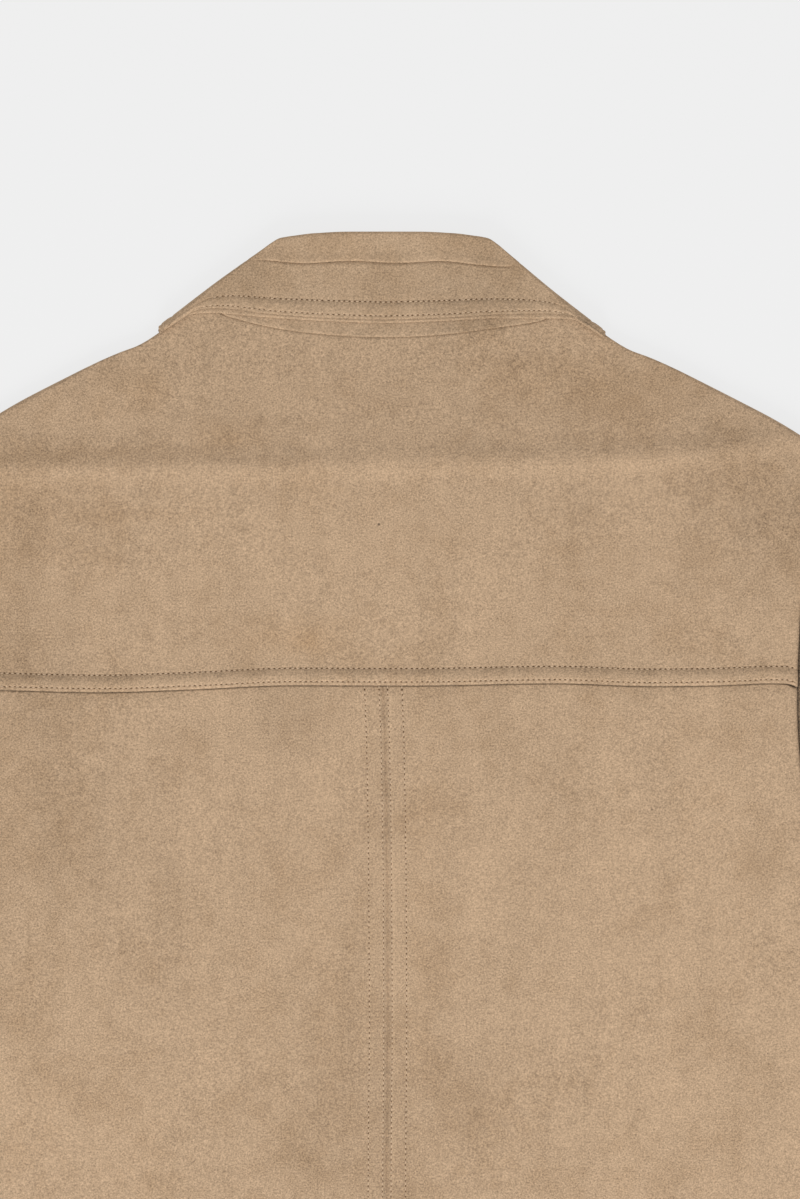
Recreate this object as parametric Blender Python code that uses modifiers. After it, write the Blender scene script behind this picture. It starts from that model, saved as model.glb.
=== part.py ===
"""A suede jacket lying face down, its back up, on a flat surface. Metres, +Z up, +Y from hem to collar.

Every cloth piece is a grid laid on a function that gives the middle of its wall, and Solidify makes the wall.
Places are worked out with y = 0 at the middle of the back neck seam, and ORIGIN_Y moves the whole jacket so
that the origin is under the middle of it.
"""

import math
from collections import namedtuple

import bmesh
import bpy
from mathutils import Vector

NAME = "suede_jacket"

# Cloth and seams
WALL = 0.0012
SEAM = 0.0003
NECK_SEAM_GAP = 0.0009
FOLD_SEAM_GAP = 0.0007
ARMHOLE_GAP = 0.0006

# Body, laid flat
HEM_Y = -0.680
YOKE_SEAM_Y = -0.2175
UNDERARM_Y = -0.340
TIP_Y = -0.069
TIP_X = 0.273
BODY_HEIGHT = 0.0063
TOP_MIDDLE = BODY_HEIGHT - WALL / 2
FOLD_RADIUS = (BODY_HEIGHT - WALL) / 2
CREASE_Y = -0.077
CREASE_HEIGHT = 0.0012

# Neck
NECK_X = 0.112
BACK_NECK_RISE = 0.0152
FRONT_NECK_DROP = 0.090
FRONT_NECK_POWER = 2.2

# Front closing
OVERLAP = 0.015
BUTTON_COUNT = 6
BUTTON_RADIUS = 0.009
BUTTON_HEIGHT = 0.0018
TOP_BUTTON_Y = -0.112
BUTTON_STEP = 0.104
CLEAR = 0.0003

# Collar ring, as a flattened tube whose middle height is RING_Z
COLLAR_HEIGHT = 0.0093
RING_Z = COLLAR_HEIGHT / 2
LEAF_DEPTH = WALL / 2
UNDER_DEPTH = LEAF_DEPTH + WALL + CLEAR
STAND_DEPTH = UNDER_DEPTH + WALL + CLEAR
ROLL_RADIUS = (STAND_DEPTH - LEAF_DEPTH) / 2
UNDER_SHOWS = 0.0016
UNDER_SHORT = 0.0012
UNDER_SHORT_AT_SIDE = 0.0095
SIDE_NORMAL = Vector((0.62, 0.785))
LEAF_LIFT = 2 * (WALL + CLEAR)

ORIGIN_Y = 0.30696

Edge = namedtuple("Edge", "y half_width")
SIDE = [
    Edge(-0.680, 0.2640),
    Edge(-0.500, 0.2680),
    Edge(-0.340, 0.2700),
    Edge(-0.280, 0.2625),
    Edge(-0.220, 0.2575),
    Edge(-0.165, 0.2590),
    Edge(-0.120, 0.2650),
    Edge(-0.069, 0.2730),
]

Shoulder = namedtuple("Shoulder", "x y")
SHOULDER = [
    Shoulder(0.112, 0.0150),
    Shoulder(0.139, -0.0020),
    Shoulder(0.166, -0.0110),
    Shoulder(0.202, -0.0280),
    Shoulder(0.240, -0.0480),
    Shoulder(0.273, -0.0690),
]

Sleeve = namedtuple("Sleeve", "along outer_x outer_y inner_x inner_y")
SLEEVE = [
    Sleeve(0.00, 0.273, -0.069, 0.270, -0.340),
    Sleeve(0.12, 0.335, -0.108, 0.277, -0.362),
    Sleeve(0.26, 0.395, -0.168, 0.290, -0.408),
    Sleeve(0.42, 0.437, -0.245, 0.305, -0.462),
    Sleeve(0.58, 0.462, -0.330, 0.320, -0.518),
    Sleeve(0.76, 0.482, -0.430, 0.338, -0.578),
    Sleeve(1.00, 0.508, -0.625, 0.360, -0.648),
]

# The collar from the middle of the back (round 0) over the side turn to the middle of the front (round 1).
# turn goes from 0 on the back to 1 on the front, and seam is where the stand piece ends on the leaf.
Station = namedtuple("Station", "round turn neck_x fold_x fold_y edge_x edge_y seam")
COLLAR = [
    Station(0.00, 0.0, 0.000, 0.0000, 0.0640, 0.0000, 0.0090, 0.304),
    Station(0.12, 0.0, 0.032, 0.0220, 0.0640, 0.0350, 0.0098, 0.308),
    Station(0.24, 0.0, 0.062, 0.0430, 0.0634, 0.0700, 0.0115, 0.310),
    Station(0.34, 0.0, 0.091, 0.0575, 0.0612, 0.1060, 0.0125, 0.285),
    Station(0.46, 0.0, 0.112, 0.0694, 0.0538, 0.1386, -0.0005, 0.120),
    Station(0.52, 0.5, 0.112, 0.0694, 0.0538, 0.1388, -0.0008, 0.118),
    Station(0.58, 1.0, 0.112, 0.0693, 0.0535, 0.1387, -0.0012, 0.120),
    Station(0.64, 1.0, 0.110, 0.0672, 0.0450, 0.1375, -0.0130, 0.160),
    Station(0.72, 1.0, 0.100, 0.0615, 0.0290, 0.1335, -0.0400, 0.190),
    Station(0.80, 1.0, 0.084, 0.0500, 0.0040, 0.1240, -0.0720, 0.200),
    Station(0.90, 1.0, 0.050, 0.0270, -0.0330, 0.1010, -0.1120, 0.200),
    Station(1.00, 1.0, 0.006, 0.0060, -0.0530, 0.0650, -0.1500, 0.190),
]


def mix(a, b, share):
    return a + (b - a) * share


def step(low, high, value):
    """0 below low, 1 above high, and smooth between them."""
    share = min(max((value - low) / (high - low), 0.0), 1.0)
    return share * share * (3 - 2 * share)


def hump(value, width):
    return math.exp(-((value / width) ** 2))


def read(table, key, column, value):
    """A column of a table at value of its key column, on a smooth curve that never overshoots its rows."""
    keys = [getattr(row, key) for row in table]
    rows = [getattr(row, column) for row in table]
    value = min(max(value, keys[0]), keys[-1])
    i = max(k for k in range(len(keys) - 1) if keys[k] <= value)
    slopes = [(rows[k + 1] - rows[k]) / (keys[k + 1] - keys[k]) for k in range(len(keys) - 1)]

    def tangent(k):
        if k == 0 or k == len(keys) - 1:
            return slopes[min(k, len(slopes) - 1)]
        before, after = slopes[k - 1], slopes[k]
        return 2 * before * after / (before + after) if before * after > 0 else 0.0

    width = keys[i + 1] - keys[i]
    t = (value - keys[i]) / width
    start = (2 * t**3 - 3 * t**2 + 1) * rows[i] + (t**3 - 2 * t**2 + t) * width * tangent(i)
    return start + (3 * t**2 - 2 * t**3) * rows[i + 1] + (t**3 - t**2) * width * tangent(i + 1)


def half_width(y):
    return read(SIDE, "y", "half_width", y)


def shoulder_y(x):
    return read(SHOULDER, "x", "y", abs(x))


def back_neck_y(x):
    return BACK_NECK_RISE * (x / NECK_X) ** 2


def front_neck_y(x):
    whole = FRONT_NECK_DROP + BACK_NECK_RISE
    return whole * (min(abs(x), NECK_X) / NECK_X) ** FRONT_NECK_POWER - FRONT_NECK_DROP


def back_top_y(x):
    return back_neck_y(x) if abs(x) < NECK_X else shoulder_y(x)


def front_top_y(x):
    return front_neck_y(x) if abs(x) < NECK_X else shoulder_y(x)


def rolls(x):
    """How far the cloth turns over the shoulder: not at all at the neck, and fully from the neck point out."""
    return step(NECK_X - 0.010, NECK_X + 0.006, abs(x))


def collar_zone(x, y):
    """1 where the front collar lies under the fronts, and 0 away from it."""
    return 1 - step(0.178, 0.222, math.hypot(x, 0.93 * y))


def top_z(x, y):
    """The middle of the back's wall."""
    across_crease = y - CREASE_Y + 0.006 * x / TIP_X
    crease = CREASE_HEIGHT * hump(across_crease, 0.011) * (1 - 0.5 * step(0.20, 0.27, abs(x)))
    over_collar = (1 - step(0.03, 0.11, abs(x))) * step(-0.27, -0.20, y) * (1 - step(-0.050, -0.015, y))
    return TOP_MIDDLE + crease + 0.0011 * over_collar


def bottom_z(x, y, layer):
    """The middle of a front's wall. layer is 0 for the front that lies lowest at the closing, or 1."""
    zone = LEAF_LIFT * collar_zone(x, y)
    closing = max(BUTTON_HEIGHT + CLEAR, zone) + layer * (WALL + CLEAR)
    strip = 1 - step(0.020, 0.052, abs(x))
    return WALL / 2 + max(zone, closing * strip)


def shoulder_radius(x):
    lift = LEAF_LIFT * collar_zone(x, shoulder_y(x))
    return (TOP_MIDDLE - WALL / 2 - lift) / 2


def bend(radius, angle, share):
    """How far on and how far down the end of a bend is, when only a share of its turn is taken."""
    if share < 0.01:
        return radius * angle, 0.0
    return (
        radius * math.sin(share * angle) / share,
        radius * (1 - math.cos(share * angle)) / share,
    )


def stations(*stretches):
    """Places along a grid: (end, count) for each stretch, from the first number on."""
    places = [float(stretches[0])]
    for end, count in stretches[1:]:
        start = places[-1]
        places += [mix(start, end, (k + 1) / count) for k in range(count)]
    return places


def side_at(share, top_y):
    """The body's edge at a share of the way from a row's low end to its top, as (x, y)."""
    x = TIP_X
    for _ in range(6):
        y = mix(*top_y(x), share)
        x = half_width(y)
    return x, y


def armhole_dip(y):
    """1 where the armhole seam lies deep between body and sleeve, and 0 over the shoulder."""
    return 1 - step(-0.178, -0.150, y)


# Pieces. Each function gives the middle of a wall from two places on its grid.


def back_panel(side):
    def place(across, up):
        y = mix(HEM_Y, YOKE_SEAM_Y - SEAM, up)
        edge = half_width(y) - WALL / 2
        on, down = bend(FOLD_RADIUS, max(across - 1, 0) * math.pi / 2, 1)
        x = mix(SEAM / 2, edge - FOLD_RADIUS, min(across, 1)) + on
        return side * x, y, top_z(x, y) - down

    return place


YOKE_TURN = math.radians(118)


def yoke_panel(across, up):
    side = math.copysign(1, across)
    rise = min(up, 1)
    edge, edge_y = side_at(rise, lambda x: (YOKE_SEAM_Y, shoulder_y(x)))
    dip = armhole_dip(edge_y)
    edge -= dip * WALL / 2
    reach = bend(FOLD_RADIUS, math.pi / 2, dip)[0]
    on, down = bend(FOLD_RADIUS, max(abs(across) - 1, 0) * math.pi / 2, dip)
    x = (edge - reach) * min(abs(across), 1) + on
    share, radius = rolls(x), shoulder_radius(x)
    start = back_top_y(x) - share * (WALL / 2 + radius) - (1 - share) * radius * YOKE_TURN
    over, under = bend(radius, max(up - 1, 0) * YOKE_TURN, share)
    y = mix(YOKE_SEAM_Y, start, rise) + over
    return side * x, y, top_z(x, min(y, start)) - down - under


def front_panel(side, layer):
    def place(across, up):
        rise = min(up, 1)
        edge, edge_y = side_at(rise, lambda x: (HEM_Y, shoulder_y(x)))
        closed = 1 - step(UNDERARM_Y - 0.012, UNDERARM_Y, edge_y)
        edge -= closed * WALL / 2
        angle = math.pi / 2 - FOLD_SEAM_GAP / FOLD_RADIUS
        reach = mix(FOLD_RADIUS * angle, FOLD_RADIUS, closed)
        on, lift = bend(FOLD_RADIUS, max(across - 1, 0) * angle, closed)
        x = mix(-OVERLAP, edge - reach, min(across, 1)) + on
        share, radius = rolls(x), shoulder_radius(x)
        turn = math.pi - YOKE_TURN - FOLD_SEAM_GAP / radius
        start = front_top_y(x) - share * (WALL / 2 + radius) - (1 - share) * radius * turn
        over, raised = bend(radius, max(up - 1, 0) * turn, share)
        y = mix(HEM_Y, start, rise) + over
        return side * x, y, bottom_z(x, min(y, start), layer) + lift + raised

    return place


def sleeve_plan(out, along):
    """A place on the sleeve laid flat: out from its underarm edge to its outer edge, along from armhole to cuff."""

    def inner(s):
        return Vector([read(SLEEVE, "along", c, s) for c in ("inner_x", "inner_y")])

    def outer(s):
        return Vector([read(SLEEVE, "along", c, s) for c in ("outer_x", "outer_y")])

    y = mix(UNDERARM_Y, TIP_Y, out)
    armhole = Vector((half_width(y), y))
    ruled = mix(inner(along), outer(along), out)
    return ruled + (armhole - mix(inner(0), outer(0), out)) * (1 - along)


def sleeve(side):
    quarter = math.pi / 2

    def place(round_, down_arm):
        long_ = max(down_arm, 0)
        width = (sleeve_plan(1, long_) - sleeve_plan(0, long_)).length
        margin = (WALL / 2 + FOLD_RADIUS) / width
        flat = margin, 1 - margin
        drop = 0.0
        if round_ <= 0:
            on, drop = bend(FOLD_RADIUS, -round_ * quarter, 1)
            out, z = flat[0] - on / width, TOP_MIDDLE
        elif round_ <= 1:
            out, z = mix(*flat, round_), TOP_MIDDLE
        elif round_ <= 3:
            angle = (round_ - 1) * quarter
            out = flat[1] + FOLD_RADIUS * math.sin(angle) / width
            z = WALL / 2 + FOLD_RADIUS * (1 + math.cos(angle))
        elif round_ <= 4:
            out, z = mix(*flat[::-1], round_ - 3), WALL / 2
        else:
            on, lift = bend(FOLD_RADIUS, (round_ - 4) * (quarter - FOLD_SEAM_GAP / FOLD_RADIUS), 1)
            out, z = flat[0] - on / width, WALL / 2 + lift
        dip = armhole_dip(mix(UNDERARM_Y, TIP_Y, out)) if round_ <= 1 else 0.0
        reach = bend(FOLD_RADIUS, quarter, dip)[0] + dip * WALL / 2 + ARMHOLE_GAP
        on, sunk = bend(FOLD_RADIUS, max(-down_arm, 0) * quarter, dip)
        away = (sleeve_plan(out, 0.02).x - sleeve_plan(out, 0).x) / 0.02
        along = (reach - on) / away if down_arm <= 0 else mix(reach / away, 1, down_arm)
        plan = sleeve_plan(out, along)
        return side * plan.x, plan.y, z - min(math.hypot(drop, sunk), FOLD_RADIUS)

    return place


def ring_point(around, depth, plan, turn):
    """A point of the collar ring: depth is how far inside the collar's outer face it is."""
    out = (RING_Z - depth) * math.sin(math.pi * turn)
    spot = plan + SIDE_NORMAL * out
    return math.copysign(1, around) * spot.x, spot.y, RING_Z + (RING_Z - depth) * math.cos(math.pi * turn)


def collar_station(around):
    place = abs(around)
    values = {c: read(COLLAR, "round", c, place) for c in Station._fields if c != "round"}
    x = values["neck_x"]
    back, front = back_neck_y(x), front_neck_y(x)
    neck = Vector((x, front if place > 0.52 else back))
    fold = Vector((values["fold_x"], values["fold_y"]))
    edge = Vector((values["edge_x"], values["edge_y"]))
    return neck, fold, edge, values["turn"], values["seam"]


def collar_stand(around, up):
    """From the neck seam up, over the roll of the collar and down its outside to the seam of the leaf."""
    neck, fold, edge, turn, seam = collar_station(around)
    rise = (fold - neck).normalized()
    depth = STAND_DEPTH
    if up <= 1:
        plan = mix(neck + rise * NECK_SEAM_GAP, fold, up)
    elif up <= 2:
        angle = (up - 1) * math.pi
        out = (rise + (fold - edge).normalized()).normalized()
        plan = fold + out * ROLL_RADIUS * math.sin(angle)
        depth = UNDER_DEPTH + ROLL_RADIUS * math.cos(angle)
    else:
        plan, depth = mix(fold, edge, seam * (up - 2)), LEAF_DEPTH
    return ring_point(around, depth, plan, turn)


def collar_leaf(around, down):
    _, fold, edge, turn, seam = collar_station(around)
    start = seam + 2 * SEAM / (edge - fold).length
    return ring_point(around, LEAF_DEPTH, mix(fold, edge, mix(start, 1, down)), turn)


def under_collar(around, down):
    _, fold, edge, turn, _ = collar_station(around)
    length = (edge - fold).length
    short = mix(UNDER_SHORT, UNDER_SHORT_AT_SIDE, hump(abs(around) - 0.48, 0.10))
    share = mix(short / length, 1 + UNDER_SHOWS / length, down)
    return ring_point(around, UNDER_DEPTH, mix(fold, edge, share), turn)


# Blender objects


def clear_scene():
    for thing in list(bpy.data.objects):
        bpy.data.objects.remove(thing, do_unlink=True)


def new_material(name, colour, roughness):
    material = bpy.data.materials.new(name)
    material.use_nodes = True
    shader = material.node_tree.nodes["Principled BSDF"]
    shader.inputs["Base Color"].default_value = (*colour, 1)
    shader.inputs["Roughness"].default_value = roughness
    shader.inputs["Metallic"].default_value = 0.0
    material.diffuse_color = (*colour, 1)
    return material


def add_object(name, mesh, material, collection):
    mesh.materials.append(material)
    thing = bpy.data.objects.new(name, mesh)
    collection.objects.link(thing)
    return thing


def cloth(name, across, up, place, material, collection):
    """A cloth wall on a grid of the places across and up."""
    bm = bmesh.new()
    columns, rows = len(across) - 1, len(up) - 1
    bmesh.ops.create_grid(bm, x_segments=columns, y_segments=rows, size=0.5)
    for vert in bm.verts:
        column, row = round((vert.co.x + 0.5) * columns), round((vert.co.y + 0.5) * rows)
        x, y, z = place(across[column], up[row])
        vert.co = (x, y + ORIGIN_Y, z)
    mesh = bpy.data.meshes.new(name)
    bm.to_mesh(mesh)
    bm.free()
    thing = add_object(name, mesh, material, collection)
    wall = thing.modifiers.new("wall", "SOLIDIFY")
    wall.thickness = WALL
    wall.offset = 0
    wall.use_quality_normals = True
    return thing


def button(name, y, material, collection):
    """A plain turned button with a shallow dish in its outer face, which lies on the surface."""
    mesh = bpy.data.meshes.new(name)
    bm = bmesh.new()
    bmesh.ops.create_cone(
        bm, cap_ends=True, segments=24, radius1=BUTTON_RADIUS, radius2=BUTTON_RADIUS, depth=BUTTON_HEIGHT
    )
    rim = [e for e in bm.edges if all(len(f.verts) == 4 for f in e.link_faces) is False]
    bmesh.ops.bevel(bm, geom=rim, affect="EDGES", offset=0.0004, segments=1, profile=0.5, material=-1)
    bmesh.ops.translate(bm, verts=bm.verts, vec=(0, y + ORIGIN_Y, BUTTON_HEIGHT / 2))
    bm.to_mesh(mesh)
    bm.free()
    return add_object(name, mesh, material, collection)


def build():
    clear_scene()
    collection = bpy.data.collections.new(NAME)
    bpy.context.scene.collection.children.link(collection)
    suede = new_material("suede", (0.474, 0.332, 0.212), 0.95)
    collar_suede = new_material("collar_suede", (0.456, 0.318, 0.202), 0.95)
    horn = new_material("button_brown", (0.110, 0.068, 0.040), 0.45)

    body_across = stations(0, (1, 7), (2, 4))
    for word, side in (("left", -1), ("right", 1)):
        up = stations(0, (0.735, 4), (1, 6))
        cloth(f"back_{word}", body_across, up, back_panel(side), suede, collection)

    half = stations(0, (0.34, 4), (0.44, 4), (0.56, 2), (1, 4), (2, 3))
    yoke_across = [-a for a in half[:0:-1]] + half
    yoke_up = stations(0, (0.55, 3), (0.95, 5), (1, 1), (2, 5))
    cloth("back_yoke", yoke_across, yoke_up, yoke_panel, suede, collection)

    front_across = stations(0, (0.115, 2), (0.2, 2), (0.40, 5), (0.44, 1), (0.56, 1), (1, 3), (2, 3))
    front_up = stations(0, (0.535, 4), (0.5565, 1), (0.90, 8), (1, 3), (2, 2))
    for word, side, layer in (("left", -1, 0), ("right", 1, 1)):
        cloth(f"front_{word}", front_across, front_up, front_panel(side, layer), suede, collection)

    sleeve_round = stations(-1, (0, 2), (1, 10), (3, 6), (4, 10), (5, 2))
    sleeve_down = stations(-1, (0, 3), (0.45, 4), (1, 3))
    for word, side in (("left", -1), ("right", 1)):
        cloth(f"sleeve_{word}", sleeve_round, sleeve_down, sleeve(side), suede, collection)

    half = stations(0, (0.34, 4), (0.46, 2), (0.58, 6), (0.64, 1), (1, 6))
    around = [-a for a in half[:0:-1]] + half
    cloth("collar_stand", around, stations(0, (1, 2), (2, 6), (3, 2)), collar_stand, collar_suede, collection)
    cloth("collar_leaf", around, stations(0, (1, 3)), collar_leaf, collar_suede, collection)
    cloth("under_collar", around, stations(0, (1, 3)), under_collar, collar_suede, collection)

    for k in range(BUTTON_COUNT):
        button(f"button_{k + 1}", TOP_BUTTON_Y - k * BUTTON_STEP, horn, collection)


build()
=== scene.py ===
import math

import bmesh
import bpy
from mathutils import Matrix, Vector, noise


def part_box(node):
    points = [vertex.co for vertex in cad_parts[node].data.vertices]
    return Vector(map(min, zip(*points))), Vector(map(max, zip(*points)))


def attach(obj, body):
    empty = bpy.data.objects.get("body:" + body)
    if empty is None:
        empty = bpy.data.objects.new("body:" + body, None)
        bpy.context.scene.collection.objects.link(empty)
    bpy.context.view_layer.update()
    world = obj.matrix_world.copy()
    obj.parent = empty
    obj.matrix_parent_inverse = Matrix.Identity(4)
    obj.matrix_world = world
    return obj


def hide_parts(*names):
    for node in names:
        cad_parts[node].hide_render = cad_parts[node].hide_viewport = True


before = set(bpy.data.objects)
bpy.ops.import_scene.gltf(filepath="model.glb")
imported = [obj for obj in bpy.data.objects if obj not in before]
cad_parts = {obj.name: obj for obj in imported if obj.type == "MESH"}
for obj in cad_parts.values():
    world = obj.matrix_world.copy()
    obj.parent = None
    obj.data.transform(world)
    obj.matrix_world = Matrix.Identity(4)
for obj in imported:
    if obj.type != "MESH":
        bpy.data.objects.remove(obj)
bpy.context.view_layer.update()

print("frame loaded")

# The jacket lies face down with its back up. Lengths are in metres. Garment places have y = 0 at the middle
# of the back neck seam, and neckY is where that is in the frame.
body = {
    "hemY": -0.680,
    "underarmY": -0.340,
    "tipY": -0.069,
    "tipX": 0.273,
    "height": 0.0063,  # from the surface to the top of the back
    "wall": 0.0012,
    "seamGap": 0.0003,
    "armholeGap": 0.0001,
    "foldSlack": 0.0006,  # how far a folded edge stops short of the piece it meets
    "shoulderTurn": math.radians(118),
}
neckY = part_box("back_left")[0].y - body["hemY"]
wall = body["wall"]
topMiddle = body["height"] - wall / 2
foldRadius = (body["height"] - wall) / 2


def columns(names, *rows):
    return {name: [row[i] for row in rows] for i, name in enumerate(names.split())}


def mix(a, b, share):
    return a + (b - a) * share


def step(low, high, value):
    share = min(max((value - low) / (high - low), 0.0), 1.0)
    return share * share * (3 - 2 * share)


def hump(value, width):
    return math.exp(-((value / width) ** 2))


# A smooth curve through two columns of a table, which never overshoots its rows.
def smoothCurve(table, keyName, valueName, count=500):
    keys, values = table[keyName], table[valueName]
    slopes = [(values[k + 1] - values[k]) / (keys[k + 1] - keys[k]) for k in range(len(keys) - 1)]
    tangents = [slopes[0]]
    for before, after in zip(slopes, slopes[1:]):
        tangents.append(2 * before * after / (before + after) if before * after > 0 else 0.0)
    tangents.append(slopes[-1])
    low, high = keys[0], keys[-1]
    samples, i = [], 0
    for n in range(count + 1):
        key = mix(low, high, n / count)
        while i < len(keys) - 2 and key > keys[i + 1]:
            i += 1
        width = keys[i + 1] - keys[i]
        t = (key - keys[i]) / width
        start = (2 * t**3 - 3 * t**2 + 1) * values[i] + (t**3 - 2 * t**2 + t) * width * tangents[i]
        end = (3 * t**2 - 2 * t**3) * values[i + 1] + (t**3 - t**2) * width * tangents[i + 1]
        samples.append(start + end)

    def read(key):
        place = min(max((key - low) / (high - low), 0.0), 1.0) * count
        n = min(int(place), count - 1)
        return mix(samples[n], samples[n + 1], place - n)

    return read


# Cut lines of the body
halfWidth = smoothCurve(
    columns(
        "y x",
        (-0.680, 0.2640), (-0.500, 0.2680), (-0.340, 0.2700), (-0.285, 0.2628),
        (-0.230, 0.2588), (-0.175, 0.2605), (-0.120, 0.2660), (-0.069, 0.2730),
    ), "y", "x",
)
shoulderCurve = smoothCurve(
    columns(
        "x y",
        (0.112, 0.0150), (0.139, -0.0014), (0.166, -0.0110), (0.202, -0.0280),
        (0.240, -0.0480), (0.273, -0.0690),
    ), "x", "y",
)
yokeSeamCurve = smoothCurve(
    columns(
        "x y",
        (-0.275, -0.2200), (-0.2375, -0.2206), (-0.1775, -0.2219), (-0.1175, -0.2200), (-0.0575, -0.2175),
        (0.0175, -0.2177), (0.1075, -0.2163), (0.1675, -0.2181), (0.2075, -0.2176), (0.2425, -0.2163),
        (0.2525, -0.2165), (0.2565, -0.2178), (0.2600, -0.2200), (0.275, -0.2250),
    ), "x", "y",
)
backSeamCurve = smoothCurve(
    columns(
        "y x",
        (-0.680, 0.0012), (-0.508, 0.0019), (-0.430, 0.0025),
        (-0.350, 0.0022), (-0.258, 0.0009), (-0.215, -0.0006),
    ), "y", "x",
)
ridgeCurve = smoothCurve(
    columns(
        "x y",
        (-0.275, -0.0830), (-0.1925, -0.0806), (-0.1275, -0.0806), (0.010, -0.0769),
        (0.135, -0.0731), (0.1975, -0.0688), (0.2475, -0.0625), (0.275, -0.0590),
    ), "x", "y",
)
neck = {"x": 0.112, "backRise": 0.0152, "frontDrop": 0.090, "frontPower": 2.2, "gap": 0.0004}


# The cloth climbs towards the neck point, under the collar
def neckLift(x):
    return 0.0055 * step(0.098, 0.112, abs(x)) * (1 - step(0.130, 0.158, abs(x)))


def shoulderY(x):
    return shoulderCurve(abs(x)) + neckLift(x)


def backNeckY(x):
    return neck["backRise"] * (x / neck["x"]) ** 2 + neckLift(x)


def frontNeckY(x):
    whole = neck["frontDrop"] + neck["backRise"]
    curve = whole * (min(abs(x), neck["x"]) / neck["x"]) ** neck["frontPower"]
    return curve - neck["frontDrop"] + neckLift(x)


def backTopY(x):
    return backNeckY(x) if abs(x) < neck["x"] else shoulderY(x)


def frontTopY(x):
    return frontNeckY(x) if abs(x) < neck["x"] else shoulderY(x)


def rolls(x):
    return step(neck["x"] - 0.010, neck["x"] + 0.006, abs(x))


# How far on and how far down the end of a bend is, when only a share of its turn is taken
def bend(radius, angle, share=1.0):
    if share < 0.01:
        return radius * angle, 0.0
    return radius * math.sin(share * angle) / share, radius * (1 - math.cos(share * angle)) / share


def stations(first, *stretches):
    places = [float(first)]
    for end, count in stretches:
        start = places[-1]
        places += [mix(start, end, (k + 1) / count) for k in range(count)]
    return places


# Creases. Each row is a soft ridge from one end to the other; a negative height is a trough.
creases = {
    "back": columns(
        "x1 y1 x2 y2 height width",
        (-0.178, -0.2580, -0.050, -0.2570, 0.00035, 0.0045),
        (-0.250, -0.2500, -0.170, -0.2620, 0.00025, 0.0070),
        (-0.140, -0.1990, 0.022, -0.1640, 0.00045, 0.0090),
        (-0.230, -0.1350, -0.120, -0.1500, 0.00030, 0.0100),
        (0.205, -0.1480, 0.262, -0.1010, 0.00060, 0.0065),
        (0.158, -0.1480, 0.200, -0.1720, 0.00040, 0.0035),
        (0.060, -0.1100, 0.150, -0.1160, 0.00025, 0.0080),
        (-0.080, -0.1020, -0.010, -0.0960, 0.00025, 0.0070),
        (0.110, -0.0300, 0.220, -0.0420, 0.00030, 0.0090),
        (-0.215, -0.0480, -0.120, -0.0220, 0.00035, 0.0080),
        (-0.205, -0.3300, -0.190, -0.4700, 0.00030, 0.0120),
        (0.130, -0.2900, 0.105, -0.4600, 0.00025, 0.0140),
        (0.180, -0.4180, 0.205, -0.4260, 0.00035, 0.0040),
        (0.215, -0.2500, 0.240, -0.3800, 0.00040, 0.0090),
        (-0.240, -0.3600, -0.252, -0.5200, 0.00040, 0.0100),
        (-0.120, -0.5200, 0.060, -0.5450, 0.00040, 0.0120),
        (0.080, -0.6000, 0.230, -0.5850, 0.00045, 0.0110),
        (-0.070, -0.3000, -0.095, -0.4200, 0.00022, 0.0120),
    ),
    "sleeve": columns(
        "x1 y1 x2 y2 height width",
        (0.285, -0.330, 0.400, -0.270, 0.0011, 0.0100),
        (0.288, -0.350, 0.380, -0.330, 0.0008, 0.0080),
        (0.300, -0.400, 0.440, -0.360, 0.0013, 0.0110),
        (0.315, -0.430, 0.400, -0.425, 0.0009, 0.0070),
        (0.380, -0.430, 0.480, -0.400, 0.0010, 0.0100),
        (0.330, -0.500, 0.470, -0.515, 0.0008, 0.0120),
        (0.300, -0.140, 0.330, -0.290, 0.0009, 0.0120),
        (0.350, -0.170, 0.385, -0.300, 0.0006, 0.0110),
        (0.400, -0.560, 0.420, -0.630, 0.0006, 0.0090),
    ),
    "front": columns(
        "x1 y1 x2 y2 height width",
        (0.070, -0.240, 0.220, -0.180, 0.0007, 0.0100),
        (0.090, -0.330, 0.250, -0.300, 0.0008, 0.0090),
        (0.060, -0.520, 0.200, -0.540, 0.0007, 0.0110),
        (0.110, -0.420, 0.130, -0.620, 0.0006, 0.0120),
        (0.200, -0.380, 0.240, -0.520, 0.0006, 0.0100),
    ),
}
creaseRows = {}
for name, table in creases.items():
    creaseRows[name] = []
    for x1, y1, x2, y2, height, width in zip(*table.values()):
        length = math.hypot(x2 - x1, y2 - y1)
        creaseRows[name].append((x1, y1, (x2 - x1) / length, (y2 - y1) / length, length, height, width))


def creaseHeight(name, x, y):
    total = 0.0
    for x1, y1, dx, dy, length, height, width in creaseRows[name]:
        on = ((x - x1) * dx + (y - y1) * dy) / length
        if 0 < on < 1:
            # the line wanders a little, and the crease fades towards both ends
            off = (y - y1) * dx - (x - x1) * dy + 0.003 * math.sin(5.1 * on + 60 * height * 100)
            if abs(off) < 3 * width:
                total += height * hump(off, width) * step(0, 0.35, on) * step(0, 0.35, 1 - on)
    return total


def swells(x, y, size):
    return noise.noise(Vector((x / size, y / size, 0.37)))


def collarZone(x, y):
    return 1 - step(0.178, 0.222, math.hypot(x, 0.93 * y))


relief = {
    "ridge": 0.0014,
    "ridgeWidth": 0.0075,
    "shoulderFall": 0.0011,
    "swell": 0.00030,
    "smallSwell": 0.00010,
}


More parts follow.
